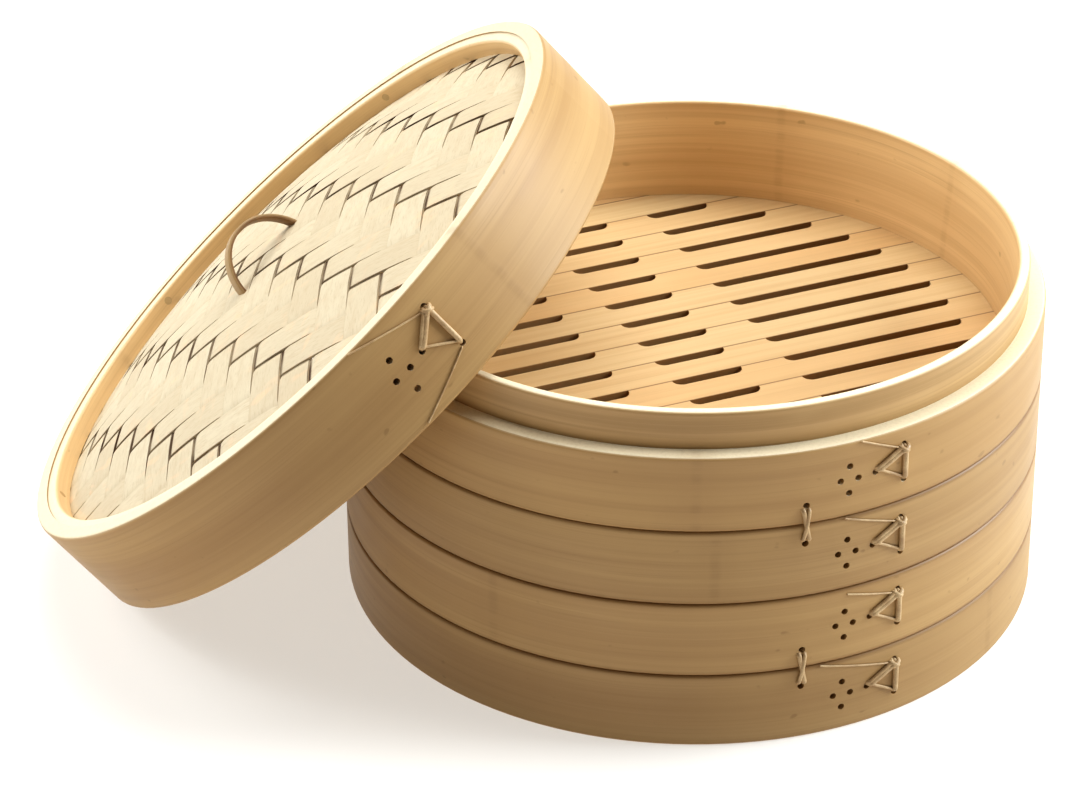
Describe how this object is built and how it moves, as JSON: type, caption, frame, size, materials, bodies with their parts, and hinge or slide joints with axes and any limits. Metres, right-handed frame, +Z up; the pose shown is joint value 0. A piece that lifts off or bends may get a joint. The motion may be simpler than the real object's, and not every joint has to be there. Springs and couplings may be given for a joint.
{
  "type": "bamboo steamer basket",
  "caption": "Round stacking bamboo steamer: slatted tiers of laced bent hoops, with a woven domed lid that leans over the rim.",
  "frame": {"origin": "centre of the ring that the stack stands on, in the plane of its foot", "axes": "+Z up along the stack's axis; the lid leans towards -X; +X is away from the lid"},
  "size_m": [0.3687, 0.254, 0.1973],
  "materials": {
    "hoop_bamboo": "smooth planed bamboo, satin",
    "inner_bamboo": "smooth planed bamboo, satin",
    "slat_bamboo": "planed bamboo, satin",
    "frame_bamboo": "split bamboo, matte",
    "woven_bamboo": "thin split strips, matte",
    "lacing_cane": "split cane, satin",
    "loop_cane": "dark split cane, satin"
  },
  "bodies": {
    "lower_tier": {"lower_inner_hoop": "inner_bamboo", "lower_top_hoop": "hoop_bamboo", "lower_bottom_hoop": "hoop_bamboo", "lower_floor_ledge": "frame_bamboo", "lower_cross_bar_left": "frame_bamboo", "lower_cross_bar_right": "frame_bamboo", "lower_floor_pins": "frame_bamboo", "lower_top_lacing": "lacing_cane", "lower_bottom_lacing": "lacing_cane", "lower_hoop_stitch": "lacing_cane", "lower_slat_01": "slat_bamboo", "lower_slat_02": "slat_bamboo", "lower_slat_03": "slat_bamboo", "lower_slat_04": "slat_bamboo", "lower_slat_05": "slat_bamboo", "lower_slat_06": "slat_bamboo", "lower_slat_07": "slat_bamboo", "lower_slat_08": "slat_bamboo", "lower_slat_09": "slat_bamboo", "lower_slat_10": "slat_bamboo", "lower_slat_11": "slat_bamboo", "lower_slat_12": "slat_bamboo", "lower_slat_13": "slat_bamboo", "lower_slat_14": "slat_bamboo", "lower_slat_15": "slat_bamboo"},
    "upper_tier": {"upper_inner_hoop": "inner_bamboo", "upper_top_hoop": "hoop_bamboo", "upper_bottom_hoop": "hoop_bamboo", "upper_floor_ledge": "frame_bamboo", "upper_cross_bar_left": "frame_bamboo", "upper_cross_bar_right": "frame_bamboo", "upper_floor_pins": "frame_bamboo", "upper_top_lacing": "lacing_cane", "upper_bottom_lacing": "lacing_cane", "upper_hoop_stitch": "lacing_cane", "upper_slat_01": "slat_bamboo", "upper_slat_02": "slat_bamboo", "upper_slat_03": "slat_bamboo", "upper_slat_04": "slat_bamboo", "upper_slat_05": "slat_bamboo", "upper_slat_06": "slat_bamboo", "upper_slat_07": "slat_bamboo", "upper_slat_08": "slat_bamboo", "upper_slat_09": "slat_bamboo", "upper_slat_10": "slat_bamboo", "upper_slat_11": "slat_bamboo", "upper_slat_12": "slat_bamboo", "upper_slat_13": "slat_bamboo", "upper_slat_14": "slat_bamboo", "upper_slat_15": "slat_bamboo"},
    "lid": {"lid_outer_hoop": "hoop_bamboo", "lid_upper_clamp_hoop": "inner_bamboo", "lid_lower_clamp_hoop": "inner_bamboo", "lid_clamp_pins": "frame_bamboo", "lid_top_strips": "woven_bamboo", "lid_under_strips": "woven_bamboo", "lid_lacing": "lacing_cane", "lid_loop": "loop_cane"}
  },
  "joints": [
    {"name": "upper_tier_lift", "type": "slide", "parent": "lower_tier", "child": "upper_tier", "axis": [0, 0, 1], "range_m": [0, 0.09]},
    {"name": "lid_lift", "type": "slide", "parent": "upper_tier", "child": "lid", "axis": [-0.6678, 0, 0.7443], "range_m": [0, 0.1]}
  ]
}
